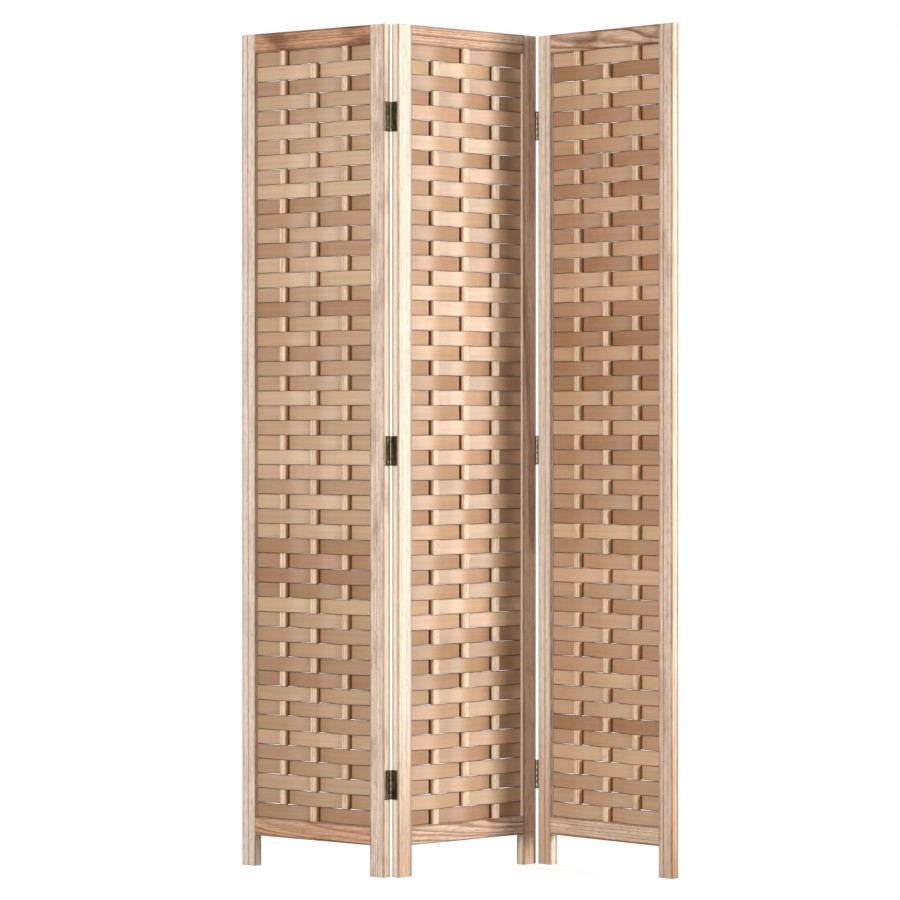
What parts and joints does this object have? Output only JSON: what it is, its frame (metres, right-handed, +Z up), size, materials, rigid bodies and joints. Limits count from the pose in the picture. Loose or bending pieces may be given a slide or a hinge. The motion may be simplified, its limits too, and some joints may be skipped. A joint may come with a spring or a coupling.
{
  "type": "folding room divider screen",
  "caption": "Folding room divider screen: wooden framed panels woven with thin strips round upright slats, standing in a zigzag on butt hinges",
  "frame": {"origin": "on the floor, below the middle of the standing screen's bounding box", "axes": "+Z up, +X along the screen to the right as seen from its front, -Y towards the viewer"},
  "size_m": [0.9314, 0.305, 1.8],
  "materials": {
    "frame_wood": "light straight-grained wood, lightly torched, matt",
    "slat_wood": "pale sanded wood, matt",
    "woven_strip": "thin wood strip, tan to brown from row to row, slight sheen",
    "antique_bronze": "dark antique bronze plating on pressed steel"
  },
  "bodies": {
    "left_panel": {"left_panel_left_stile": "frame_wood", "left_panel_right_stile": "frame_wood", "left_panel_bottom_rail": "frame_wood", "left_panel_top_rail": "frame_wood", "left_panel_left_slat": "slat_wood", "left_panel_middle_slat": "slat_wood", "left_panel_right_slat": "slat_wood", "left_panel_odd_strips": "woven_strip", "left_panel_even_strips": "woven_strip", "left_bottom_hinge_outer_leaf": "antique_bronze", "left_centre_hinge_outer_leaf": "antique_bronze", "left_top_hinge_outer_leaf": "antique_bronze", "left_hinges_outer_screws": "antique_bronze"},
    "middle_panel": {"middle_panel_left_stile": "frame_wood", "middle_panel_right_stile": "frame_wood", "middle_panel_bottom_rail": "frame_wood", "middle_panel_top_rail": "frame_wood", "middle_panel_left_slat": "slat_wood", "middle_panel_middle_slat": "slat_wood", "middle_panel_right_slat": "slat_wood", "middle_panel_odd_strips": "woven_strip", "middle_panel_even_strips": "woven_strip", "left_bottom_hinge_middle_leaf": "antique_bronze", "left_bottom_hinge_pin": "antique_bronze", "left_centre_hinge_middle_leaf": "antique_bronze", "left_centre_hinge_pin": "antique_bronze", "left_top_hinge_middle_leaf": "antique_bronze", "left_top_hinge_pin": "antique_bronze", "left_hinges_middle_screws": "antique_bronze", "right_bottom_hinge_middle_leaf": "antique_bronze", "right_bottom_hinge_pin": "antique_bronze", "right_centre_hinge_middle_leaf": "antique_bronze", "right_centre_hinge_pin": "antique_bronze", "right_top_hinge_middle_leaf": "antique_bronze", "right_top_hinge_pin": "antique_bronze", "right_hinges_middle_screws": "antique_bronze"},
    "right_panel": {"right_panel_left_stile": "frame_wood", "right_panel_right_stile": "frame_wood", "right_panel_bottom_rail": "frame_wood", "right_panel_top_rail": "frame_wood", "right_panel_left_slat": "slat_wood", "right_panel_middle_slat": "slat_wood", "right_panel_right_slat": "slat_wood", "right_panel_odd_strips": "woven_strip", "right_panel_even_strips": "woven_strip", "right_bottom_hinge_outer_leaf": "antique_bronze", "right_centre_hinge_outer_leaf": "antique_bronze", "right_top_hinge_outer_leaf": "antique_bronze", "right_hinges_outer_screws": "antique_bronze"}
  },
  "joints": [
    {"name": "left_fold", "type": "hinge", "parent": "middle_panel", "child": "left_panel", "pos_m": [-0.13913, -0.11579, 0], "axis": [0, 0, 1], "range_deg": [-99, 81]},
    {"name": "right_fold", "type": "hinge", "parent": "middle_panel", "child": "right_panel", "pos_m": [0.17492, 0.13787, 0], "axis": [0, 0, 1], "range_deg": [-91, 89]}
  ]
}
